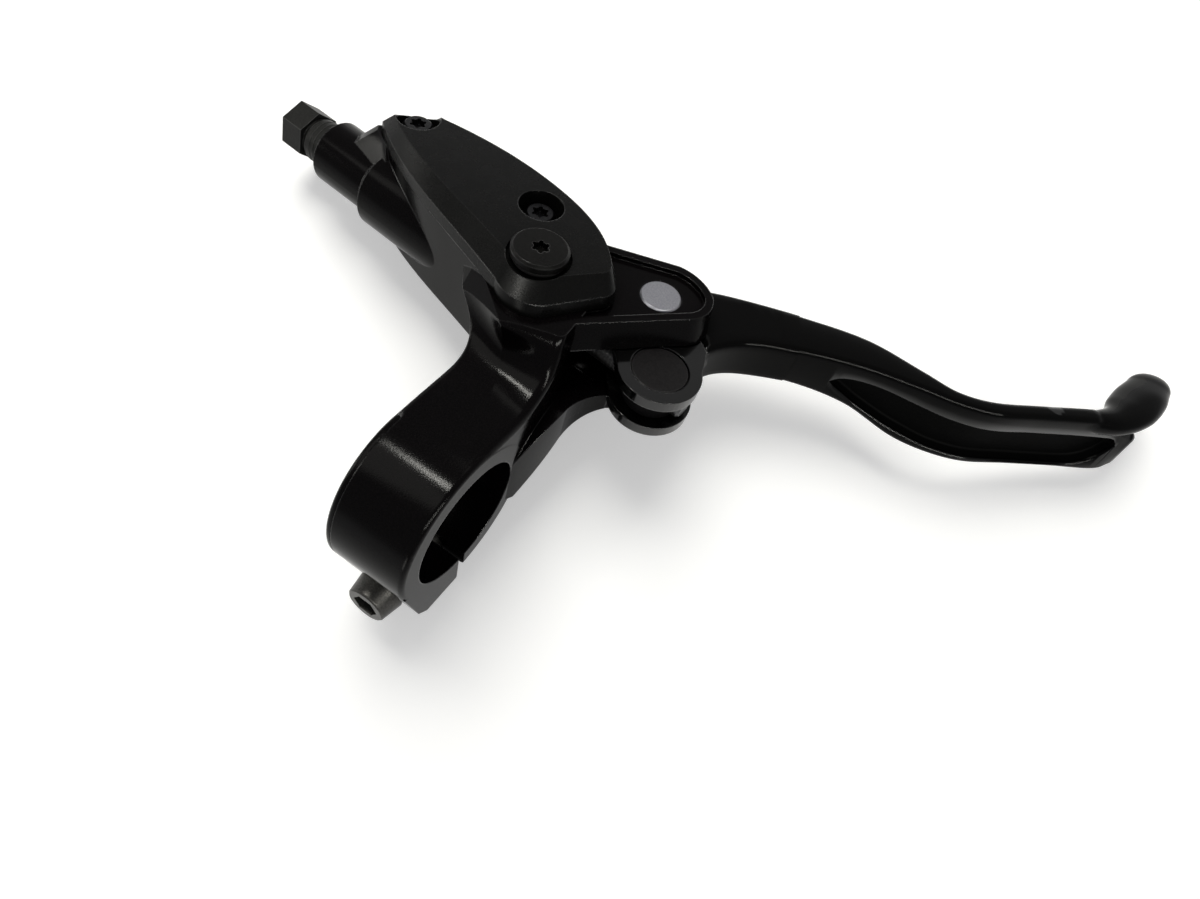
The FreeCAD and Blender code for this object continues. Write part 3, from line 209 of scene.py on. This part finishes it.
class Finish:
    """A principled material with grain, edge gloss of rubbed wear and painted sheen, painted shade in
    hollows and softened edges in the shading.
    """

    def __init__(self, name, colour, roughness, metallic=0.0, specular=0.5):
        self.material = bpy.data.materials.new(name)
        self.material.use_nodes = True
        self.tree = self.material.node_tree
        self.shader = self.tree.nodes["Principled BSDF"]
        self.shader.inputs["Base Color"].default_value = (*colour, 1.0)
        self.shader.inputs["Roughness"].default_value = roughness
        self.shader.inputs["Metallic"].default_value = metallic
        self.shader.inputs["Specular IOR Level"].default_value = specular
        self.place = self.tree.nodes.new("ShaderNodeTexCoord").outputs["Object"]
        self.normal = None

    def node(self, kind, **values):
        made = self.tree.nodes.new(kind)
        for key, value in values.items():
            made.inputs[key.replace("_", " ")].default_value = value
        return made

    def noise(self, size, detail=2.0):
        made = self.node("ShaderNodeTexNoise", Scale=1.0 / size, Detail=detail)
        link(self.tree, self.place, made.inputs["Vector"])
        return made.outputs["Fac"]

    def ramp(self, source, stops):
        made = self.tree.nodes.new("ShaderNodeValToRGB")
        elements = made.color_ramp.elements
        while len(elements) < len(stops):
            elements.new(0.5)
        for element, (position, colour) in zip(elements, stops):
            element.position = position
            element.color = (*colour, 1.0)
        link(self.tree, source, made.inputs["Fac"])
        return made.outputs["Color"]

    def spread(self, source, low, high):
        made = self.node("ShaderNodeMapRange", To_Min=low, To_Max=high)
        link(self.tree, source, made.inputs["Value"])
        return made.outputs["Result"]

    def edges(self, radius):
        made = self.node("ShaderNodeBevel", Radius=radius)
        made.samples = 4
        self.normal = made.outputs["Normal"]
        return self

    def gloss(self, face_and_edge, rounded=False):
        """Edges given more gloss, partly rubbed wear and partly painted sheen, and gloss cut deep in hollows
        as painted shade.
        """
        shape = self.tree.nodes.new("ShaderNodeNewGeometry")
        low, high = face_and_edge
        # Edge gloss: partly rubbed wear, partly a painted sheen standing in for highlights on rounded edges
        edge_wear_and_sheen = self.node("ShaderNodeMapRange", To_Min=low, To_Max=high)
        if rounded:
            limits = EDGE_POINT
            link(self.tree, shape.outputs["Pointiness"], edge_wear_and_sheen.inputs["Value"])
        else:
            limits = EDGE_TURN
            turn = self.tree.nodes.new("ShaderNodeVectorMath")
            turn.operation = "DOT_PRODUCT"
            link(self.tree, self.normal, turn.inputs[0])
            link(self.tree, shape.outputs["Normal"], turn.inputs[1])
            link(self.tree, turn.outputs["Value"], edge_wear_and_sheen.inputs["Value"])
        edge_wear_and_sheen.inputs["From Min"].default_value, edge_wear_and_sheen.inputs["From Max"].default_value = limits
        # Painted shade: ambient occlusion cuts the gloss deep in hollows, so they render darker where shade
        # falls
        hollow = self.node("ShaderNodeAmbientOcclusion", Distance=HOLLOW_REACH)
        hollow.samples = 6
        hollow_shade = self.node("ShaderNodeMapRange", To_Min=HOLLOW_DULL, To_Max=1.0)
        hollow_shade.inputs["From Min"].default_value, hollow_shade.inputs["From Max"].default_value = HOLLOW_OPEN
        link(self.tree, hollow.outputs["AO"], hollow_shade.inputs["Value"])
        both = self.tree.nodes.new("ShaderNodeMath")
        both.operation = "MULTIPLY"
        link(self.tree, edge_wear_and_sheen.outputs["Result"], both.inputs[0])
        link(self.tree, hollow_shade.outputs["Result"], both.inputs[1])
        link(self.tree, both.outputs[0], self.shader.inputs["Specular IOR Level"])
        return self

    def bump(self, height, distance, strength=1.0):
        made = self.node("ShaderNodeBump", Strength=strength, Distance=distance)
        link(self.tree, height, made.inputs["Height"])
        if self.normal:
            link(self.tree, self.normal, made.inputs["Normal"])
        self.normal = made.outputs["Normal"]
        return self

    def colour(self, source):
        link(self.tree, source, self.shader.inputs["Base Color"])
        return self

    def roughness(self, source):
        link(self.tree, source, self.shader.inputs["Roughness"])
        return self

    def done(self):
        if self.normal:
            link(self.tree, self.normal, self.shader.inputs["Normal"])
        return self.material


def black_paint(name, dark, light, rough_low, rough_high, grain_bump, rounded=False):
    """Glossy black paint over a casting, with a fine brownish sparkle."""
    finish = Finish(name, dark, rough_low)
    grain = finish.noise(0.22 * MM, 3.0)
    finish.colour(finish.ramp(grain, [(0.35, dark), (0.75, light)]))
    finish.roughness(finish.spread(finish.noise(4.0 * MM, 4.0), rough_low, rough_high))
    finish.edges(0.3 * MM).gloss(PAINT_GLOSS, rounded)
    return finish.bump(grain, grain_bump).done()


def moulded_plastic(name, dark, light, roughness):
    finish = Finish(name, dark, roughness)
    grain = finish.noise(0.3 * MM, 4.0)
    finish.colour(finish.ramp(grain, [(0.3, dark), (0.7, light)]))
    finish.roughness(finish.spread(finish.noise(3.0 * MM, 3.0), roughness - 0.06, roughness + 0.06))
    finish.edges(0.25 * MM).gloss(PLASTIC_GLOSS)
    return finish.bump(grain, 0.012 * MM).done()


def rubber(name, dark, light, specular=0.3):
    finish = Finish(name, dark, 0.6, specular=specular)
    finish.colour(finish.ramp(finish.noise(0.5 * MM, 4.0), [(0.3, dark), (0.7, light)]))
    return finish.bump(finish.noise(0.2 * MM), 0.01 * MM).done()


def metal(name, dark, light, rough_low, rough_high, grain_size=0.25 * MM, grain_bump=0.004 * MM):
    finish = Finish(name, dark, rough_low, metallic=1.0)
    grain = finish.noise(grain_size, 4.0)
    finish.colour(finish.ramp(grain, [(0.3, dark), (0.7, light)]))
    finish.roughness(finish.spread(finish.noise(1.5 * MM, 4.0), rough_low, rough_high))
    finish.edges(0.12 * MM)
    return finish.bump(grain, grain_bump).done()


MATERIALS = {
    "cast_body_black": black_paint(
        "body_paint", (0.0010, 0.0008, 0.0009), (0.0032, 0.0025, 0.0028), 0.10, 0.17, 0.009 * MM),
    "lever_black": black_paint(
        "lever_paint", (0.0008, 0.0008, 0.0008), (0.0018, 0.0017, 0.0017), 0.06, 0.11, 0.002 * MM, True),
    "lid_charcoal": moulded_plastic("lid_plastic", (0.0018, 0.0018, 0.0017), (0.0036, 0.0036, 0.0034), 0.27),
    "screw_black": metal("screw_steel_black", (0.012, 0.012, 0.013), (0.03, 0.03, 0.032), 0.25, 0.4),
    "bleed_black": moulded_plastic("bleed_plastic", (0.0025, 0.0024, 0.0022), (0.005, 0.0048, 0.0044), 0.3),
    "seal_rubber": rubber("seal_rubber_black", (0.006, 0.006, 0.006), (0.012, 0.012, 0.012)),
    "bush_bronze": metal("bush_bronze_sintered", (0.30, 0.19, 0.09), (0.42, 0.28, 0.14), 0.35, 0.5),
    "pin_steel": metal("pin_steel_satin", (0.28, 0.28, 0.305), (0.37, 0.37, 0.40), 0.34, 0.48),
    "clip_steel": metal("clip_spring_steel", (0.22, 0.22, 0.23), (0.32, 0.32, 0.33), 0.3, 0.45),
    "barrel_grey": moulded_plastic("barrel_anodised", (0.006, 0.0057, 0.006), (0.012, 0.011, 0.0115), 0.4),
    "rod_steel": metal("rod_steel_black_oxide", (0.05, 0.05, 0.052), (0.09, 0.09, 0.092), 0.3, 0.45),
    "piston_alloy": metal("piston_alloy_bright", (0.55, 0.56, 0.57), (0.68, 0.69, 0.70), 0.25, 0.4),
    "spring_steel": metal("spring_steel_wire", (0.4, 0.4, 0.41), (0.52, 0.52, 0.53), 0.25, 0.4),
    "nut_grey": moulded_plastic("nut_anodised", (0.010, 0.010, 0.0095), (0.018, 0.018, 0.017), 0.4),
    "olive_brass": metal("olive_brass_bright", (0.55, 0.40, 0.16), (0.68, 0.52, 0.24), 0.25, 0.4),
    "bolt_black": metal("bolt_steel_black", (0.038, 0.037, 0.035), (0.068, 0.066, 0.063), 0.3, 0.45),
}
# Painted shade: a darker, matt finish for the faces lining the lever's hollow, where shade falls
LEVER_HOLLOW_SHADE = rubber("lever_hollow_painted_shade", (0.0004, 0.0005, 0.0005), (0.001, 0.0011, 0.0011), 0.03)


def dress_nodes():
    for node in frame["nodes"].values():
        for slot in node.material_slots:
            slot.material = MATERIALS[slot.material.name.split(".")[0]]


def screw_thread(name, start, along, length, radius, pitch, depth, body, slot):
    """A sleeve with a helical ridge, closed at both ends."""
    rows = int(length / pitch * THREAD_ROWS)
    side = along.orthogonal().normalized()
    other = along.cross(side)
    verts = []
    faces = []
    for j in range(rows + 1):
        s = length * j / rows
        for i in range(THREAD_AROUND):
            turn = i / THREAD_AROUND
            phase = (s / pitch - turn) % 1.0
            ridge = 1.0 - abs(2.0 * phase - 1.0)
            fade = min(1.0, s / pitch * 2.0, (length - s) / pitch * 2.0)
            r = radius - depth + depth * ridge * fade
            angle = 2.0 * math.pi * turn
            verts.append(start + along * s + side * (r * math.cos(angle)) + other * (r * math.sin(angle)))
    for j in range(rows):
        for i in range(THREAD_AROUND):
            a = j * THREAD_AROUND + i
            b = j * THREAD_AROUND + (i + 1) % THREAD_AROUND
            faces.append((a, b, b + THREAD_AROUND, a + THREAD_AROUND))
    faces.append(tuple(reversed(range(THREAD_AROUND))))
    faces.append(tuple(range(rows * THREAD_AROUND, (rows + 1) * THREAD_AROUND)))
    mesh = bpy.data.meshes.new(name)
    mesh.from_pydata(verts, [], faces)
    mesh.polygons.foreach_set("use_smooth", [True] * len(mesh.polygons))
    mesh.materials.append(MATERIALS[slot])
    thread = bpy.data.objects.new(name, mesh)
    bpy.context.scene.collection.objects.link(thread)
    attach(thread, body)


def smooth(rows, t):
    """Value at t of a smooth curve through (key, value) rows."""
    keys = [key for key, value in rows]
    last = len(rows) - 1
    i = min(max(bisect.bisect_right(keys, t) - 1, 0), last - 1)

    def slope(j):
        a = max(j - 1, 0)
        b = min(j + 1, last)
        return (rows[b][1] - rows[a][1]) * (1.0 / (keys[b] - keys[a]))

    span = keys[i + 1] - keys[i]
    s = min(max((t - keys[i]) / span, 0.0), 1.0)
    one = rows[i][1] * (1.0 + 2.0 * s) * (1.0 - s) ** 2 + slope(i) * (span * s * (1.0 - s) ** 2)
    return one + rows[i + 1][1] * (s * s * (3.0 - 2.0 * s)) + slope(i + 1) * (span * s * s * (s - 1.0))


def straight(rows, t):
    """Value at t of a line through (key, value) rows."""
    for (a, low), (b, high) in zip(rows, rows[1:]):
        if t <= b:
            return low + (high - low) * (t - a) / (b - a)
    return rows[-1][1]


def lever_point(place, z=0.0):
    return Vector((LEVER_AT.x + place[0] * LEVER_REACH, LEVER_AT.y + place[1] * LEVER_SET, z * MM))


def corner(u, z, r, start):
    """Quarter round about (u, z), from a start angle in quarter turns."""
    turns = [(start + i / 5.0) * math.pi / 2.0 for i in range(6)]
    return [(u + r * math.cos(a), z + r * math.sin(a)) for a in turns]


def blade_ring(t, ahead=0.0, inset=0.0):
    """Cross-section of the blade where the rider's edge is at part t of the reach."""
    rows = [(near[0], Vector((near[1], far[0], far[1], drop))) for near, far, drop in BLADE_ROWS]
    near_y, far_x, far_y, drop = smooth(rows, t)
    start = lever_point((t, near_y))
    across = lever_point((far_x, far_y)) - start
    width = across.length / MM - 2.0 * inset
    across.normalize()
    forward = across.cross(Vector((0.0, 0.0, 1.0)))
    top = straight(BLADE_FALL, t) - inset
    low = LEVER_LOW + (BLADE_LOW - LEVER_LOW) * drop + inset
    r = min(BLADE_ROUND, 0.4 * width)
    out = -BLADE_LEAN * drop
    points = corner(out + r, low + r, r, 2) + corner(width - r, low + r, r, 3)
    points += corner(width - r, top - r, r, 0) + corner(r, top - r, r, 1)
    mouth = smooth(POCKET_MOUTH, t)
    foot = smooth(POCKET_FOOT, t)
    gap = max(mouth - foot, 0.0) if POCKET_MOUTH[0][0] < t < POCKET_MOUTH[-1][0] else 0.0
    scale = min(1.0, gap / POCKET_SLOPE)
    depth = POCKET_DEPTH * scale
    side = [(mouth - down * scale, share) for down, share in POCKET_LIP]
    side += [(foot + (mouth - foot) * (1.0 - i / 6.0), 1.0) for i in range(2, 5)]
    side += [(foot + down * scale, share) for down, share in reversed(POCKET_LIP)]
    for z, share in side:
        lean = out * (top - r - z) / (top - low - 2.0 * r)
        points.append((lean + depth * share, z))
    shift = across * (inset * MM) + forward * (ahead * MM)
    return [start + shift + across * (u * MM) + Vector((0.0, 0.0, z * MM)) for u, z in points]


def hook_ring(row, place, size):
    heading, roll, half_w, half_h = row
    turn = math.radians(heading)
    tip = math.radians(roll)
    left = Vector((-math.sin(turn), math.cos(turn), 0.0))
    side = left * math.cos(tip) - Vector((0.0, 0.0, math.sin(tip)))
    rise = left * math.sin(tip) + Vector((0.0, 0.0, math.cos(tip)))
    points = []
    for i in range(HOOK_AROUND):
        a = 2.0 * math.pi * i / HOOK_AROUND
        u = math.copysign(abs(math.cos(a)) ** HOOK_SQUARE, math.cos(a)) * half_w * size
        v = math.copysign(abs(math.sin(a)) ** HOOK_SQUARE, math.sin(a)) * half_h * size
        points.append(lever_point(place, HOOK_MID_Z) + side * (u * MM) + rise * (v * MM))
    return points


def skin(mesh, rings, inner=()):
    """Quads between rings of points, closed at both ends; inner ones take the second finish, which on the
    lever is the painted shade of its hollow.
    """
    made = [[mesh.verts.new(point) for point in ring] for ring in rings]
    count = len(rings[0])
    for one, two in zip(made, made[1:]):
        for i in range(count):
            j = (i + 1) % count
            face = mesh.faces.new((one[i], one[j], two[j], two[i]))
            face.material_index = int(i in inner)
    mesh.faces.new(list(reversed(made[0])))
    mesh.faces.new(made[-1])


def steps(low, high, count):
    return [low + (high - low) * i / count for i in range(count)]


def add_lever_form():
    """Lever with the root of its solid and a finer blade, hollow and hook."""
    node = frame["nodes"]["lever_blade"]
    mesh = bmesh.new()
    mesh.from_mesh(node.data)
    mesh.transform(node.matrix_world)
    bmesh.ops.remove_doubles(mesh, verts=mesh.verts, dist=ROOT_JOIN)
    near, far = BLADE_ROWS[BLADE_ROOT][:2]
    across = lever_point(far) - lever_point(near)
    forward = across.cross(Vector((0.0, 0.0, 1.0))).normalized()
    everything = mesh.verts[:] + mesh.edges[:] + mesh.faces[:]
    bmesh.ops.bisect_plane(
        mesh, geom=everything, plane_co=lever_point(near), plane_no=forward, clear_outer=True)
    start = near[0]
    stations = []
    low = start
    for high, count in BLADE_STEPS:
        stations += steps(low, high, count)
        low = high
    stations.append(low)
    rings = [blade_ring(start, ahead, inset) for ahead, inset in BLADE_ENTRY]
    rings += [blade_ring(t) for t in stations[1:]]
    rings += [blade_ring(low, ahead, inset) for ahead, inset in BLADE_CAP]
    skin(mesh, rings, POCKET_FACES)
    reach = [0.0]
    for one, two in zip(HOOK_ROWS, HOOK_ROWS[1:]):
        reach.append(reach[-1] + (lever_point(two[0]) - lever_point(one[0])).length)
    shapes = [(s, Vector(row[1:])) for s, row in zip(reach, HOOK_ROWS)]
    places = [(s, Vector(row[0])) for s, row in zip(reach, HOOK_ROWS)]
    rings = [hook_ring(smooth(shapes, s), smooth(places, s), 1.0) for s in steps(0.0, reach[-1], HOOK_STEPS)]
    for i in range(HOOK_CAP_STEPS + 1):
        s = math.sin(i / HOOK_CAP_STEPS * math.pi / 2.0)
        size = max(math.sqrt(1.0 - s * s), 0.02)
        place = Vector(HOOK_ROWS[-1][0]).lerp(Vector(HOOK_END), s)
        rings.append(hook_ring(HOOK_ROWS[-1][1:], place, size))
    skin(mesh, rings)
    bmesh.ops.remove_doubles(mesh, verts=mesh.verts, dist=LEVER_JOIN)
    bmesh.ops.recalc_face_normals(mesh, faces=mesh.faces)
    data = bpy.data.meshes.new("lever_form")
    mesh.to_mesh(data)
    mesh.free()
    data.polygons.foreach_set("use_smooth", [True] * len(data.polygons))
    data.set_sharp_from_angle(angle=SHARP_ANGLE)
    data.materials.append(MATERIALS["lever_black"])
    data.materials.append(LEVER_HOLLOW_SHADE)
    lever = bpy.data.objects.new("lever_form", data)
    bpy.context.scene.collection.objects.link(lever)
    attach(lever, "lever")
    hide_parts("lever_blade")


def add_ring_rim():
    """Thin smooth skin over the rim of the clamp ring."""
    r = RIM_ROUND + RIM_PROUD
    section = [(RIM_X - RIM_PROUD, RIM_R - RIM_ROUND - RIM_OVERLAP)]
    for i in range(RIM_ARC_STEPS + 1):
        a = math.pi - i / RIM_ARC_STEPS * math.pi / 2.0
        section.append((RIM_X + RIM_ROUND + r * math.cos(a), RIM_R - RIM_ROUND + r * math.sin(a)))
    section.append((RIM_X + RIM_ROUND + RIM_OVERLAP, RIM_R + RIM_PROUD))
    turns = [math.radians(a) for a in steps(*RIM_TURNS, RIM_STEPS)]
    verts = [Vector((x, c * math.cos(a), c * math.sin(a))) * MM for a in turns for x, c in section]
    count = len(section)
    faces = []
    for j in range(len(turns) - 1):
        for i in range(count - 1):
            k = j * count + i
            faces.append((k, k + 1, k + count + 1, k + count))
    mesh = bpy.data.meshes.new("clamp_ring_rim")
    mesh.from_pydata(verts, [], faces)
    mesh.polygons.foreach_set("use_smooth", [True] * len(mesh.polygons))
    mesh.materials.append(MATERIALS["cast_body_black"])
    rim = bpy.data.objects.new("clamp_ring_rim", mesh)
    bpy.context.scene.collection.objects.link(rim)
    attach(rim, "brake_body")


def add_threads():
    screw_thread(
        "hose_nut_thread", CYL_AT + CYL_DIR * NUT_THREAD_FROM, CYL_DIR, NUT_THREAD_TO - NUT_THREAD_FROM,
        NUT_THREAD_R, NUT_THREAD_PITCH, NUT_THREAD_DEPTH, "brake_body", "nut_grey")
    screw_thread(
        "push_rod_thread", CYL_AT + CYL_DIR * ROD_THREAD_FROM, CYL_DIR, ROD_THREAD_TO - ROD_THREAD_FROM,
        ROD_THREAD_R, ROD_THREAD_PITCH, ROD_THREAD_DEPTH, "push_rod_set", "rod_steel")


def add_camera():
    data = bpy.data.cameras.new("camera")
    data.lens = CAMERA_LENS
    data.sensor_width = CAMERA_SENSOR
    data.sensor_fit = "HORIZONTAL"
    data.clip_start = 5.0 * MM
    camera = bpy.data.objects.new("camera", data)
    turn = Matrix((CAMERA_RIGHT, CAMERA_UP, CAMERA_BACK)).transposed()
    camera.matrix_world = Matrix.Translation(CAMERA_AT) @ turn.to_4x4()
    bpy.context.scene.collection.objects.link(camera)
    bpy.context.scene.camera = camera


def seen_rays(tree):
    """One where a surface is seen directly, in a mirror-like face or through glass."""
    path = tree.nodes.new("ShaderNodeLightPath")
    total = path.outputs["Is Camera Ray"]
    for kind in ("Is Glossy Ray", "Is Transmission Ray"):
        more = tree.nodes.new("ShaderNodeMath")
        more.operation = "MAXIMUM"
        link(tree, total, more.inputs[0])
        link(tree, path.outputs[kind], more.inputs[1])
        total = more.outputs[0]
    return total


def floor_material():
    """Matt white that keeps the shadow, lifted to white where it is seen directly."""
    material = bpy.data.materials.new("table_white")
    material.use_nodes = True
    tree = material.node_tree
    tree.nodes.clear()
    matt = tree.nodes.new("ShaderNodeBsdfDiffuse")
    matt.inputs["Color"].default_value = (FLOOR_GREY, FLOOR_GREY, FLOOR_GREY, 1.0)
    lift = tree.nodes.new("ShaderNodeEmission")
    lift.inputs["Color"].default_value = (1.0, 1.0, 1.0, 1.0)
    amount = tree.nodes.new("ShaderNodeMath")
    amount.operation = "MULTIPLY"
    amount.inputs[1].default_value = FLOOR_LIFT
    link(tree, seen_rays(tree), amount.inputs[0])
    link(tree, amount.outputs[0], lift.inputs["Strength"])
    both = tree.nodes.new("ShaderNodeAddShader")
    link(tree, matt.outputs[0], both.inputs[0])
    link(tree, lift.outputs[0], both.inputs[1])
    clear = tree.nodes.new("ShaderNodeBsdfTransparent")
    side = tree.nodes.new("ShaderNodeNewGeometry")
    pick = tree.nodes.new("ShaderNodeMixShader")
    link(tree, side.outputs["Backfacing"], pick.inputs["Fac"])
    link(tree, both.outputs[0], pick.inputs[1])
    link(tree, clear.outputs[0], pick.inputs[2])
    output = tree.nodes.new("ShaderNodeOutputMaterial")
    link(tree, pick.outputs[0], output.inputs["Surface"])
    return material


def floor_height():
    """Lowest reach of the part along the table's normal."""
    low = 1.0
    for node in frame["nodes"].values():
        for vertex in node.data.vertices:
            low = min(low, FLOOR_UP.dot(node.matrix_world @ vertex.co))
    return low


def add_floor():
    middle = (cad_low + cad_high) / 2
    at = middle + FLOOR_UP * (floor_height() - FLOOR_DROP - middle.dot(FLOOR_UP))
    side = FLOOR_UP.orthogonal().normalized() * FLOOR_HALF
    other = FLOOR_UP.cross(side)
    corners = [at - side - other, at + side - other, at + side + other, at - side + other]
    mesh = bpy.data.meshes.new("table")
    mesh.from_pydata(corners, [], [(0, 1, 2, 3)])
    mesh.materials.append(floor_material())
    table = bpy.data.objects.new("table", mesh)
    bpy.context.scene.collection.objects.link(table)


def add_lamp(name, turn, height, distance, size, power, highlight):
    """Soft lamp that looks at the middle of the part."""
    middle = (cad_low + cad_high) / 2
    ahead = (CAMERA_UP - FLOOR_UP * CAMERA_UP.dot(FLOOR_UP)).normalized()
    right = ahead.cross(FLOOR_UP)
    level = ahead * math.cos(math.radians(turn)) + right * math.sin(math.radians(turn))
    way = level * math.cos(math.radians(height)) + FLOOR_UP * math.sin(math.radians(height))
    data = bpy.data.lights.new(name, "AREA")
    data.shape = "RECTANGLE"
    data.size, data.size_y = size
    data.energy = power
    data.color = LAMP_TINT
    lamp = bpy.data.objects.new(name, data)
    lamp.location = middle + way * distance
    lamp.rotation_euler = (-way).to_track_quat("-Z", "Y").to_euler()
    lamp.visible_glossy = highlight
    lamp.visible_diffuse = not highlight
    bpy.context.scene.collection.objects.link(lamp)


def add_lights():
    for name, values in LAMPS.items():
        add_lamp(name, *values)


def add_world():
    """White walls under a darker ceiling, and soft grey light on matt faces."""
    world = bpy.data.worlds.new("studio")
    bpy.context.scene.world = world
    world.use_nodes = True
    tree = world.node_tree
    tree.nodes.clear()
    height = tree.nodes.new("ShaderNodeVectorMath")
    height.operation = "DOT_PRODUCT"
    height.inputs[1].default_value = FLOOR_UP
    link(tree, tree.nodes.new("ShaderNodeTexCoord").outputs["Generated"], height.inputs[0])
    shade = tree.nodes.new("ShaderNodeMapRange")
    shade.interpolation_type = "SMOOTHSTEP"
    shade.inputs["From Min"].default_value = WALL_SINE
    shade.inputs["From Max"].default_value = CEILING_SINE
    shade.inputs["To Min"].default_value = 1.0
    shade.inputs["To Max"].default_value = CEILING
    link(tree, height.outputs["Value"], shade.inputs["Value"])
    level = tree.nodes.new("ShaderNodeMix")
    level.data_type = "FLOAT"
    level.inputs[2].default_value = ROOM_SOFT
    link(tree, seen_rays(tree), level.inputs[0])
    link(tree, shade.outputs["Result"], level.inputs[3])
    back = tree.nodes.new("ShaderNodeBackground")
    back.inputs["Color"].default_value = (1.0, 1.0, 1.0, 1.0)
    link(tree, level.outputs[0], back.inputs["Strength"])
    output = tree.nodes.new("ShaderNodeOutputWorld")
    link(tree, back.outputs[0], output.inputs["Surface"])


dress_nodes()
add_lever_form()
add_ring_rim()
add_threads()
add_camera()
add_floor()
add_lights()
add_world()
bpy.context.scene.view_settings.view_transform = "Standard"
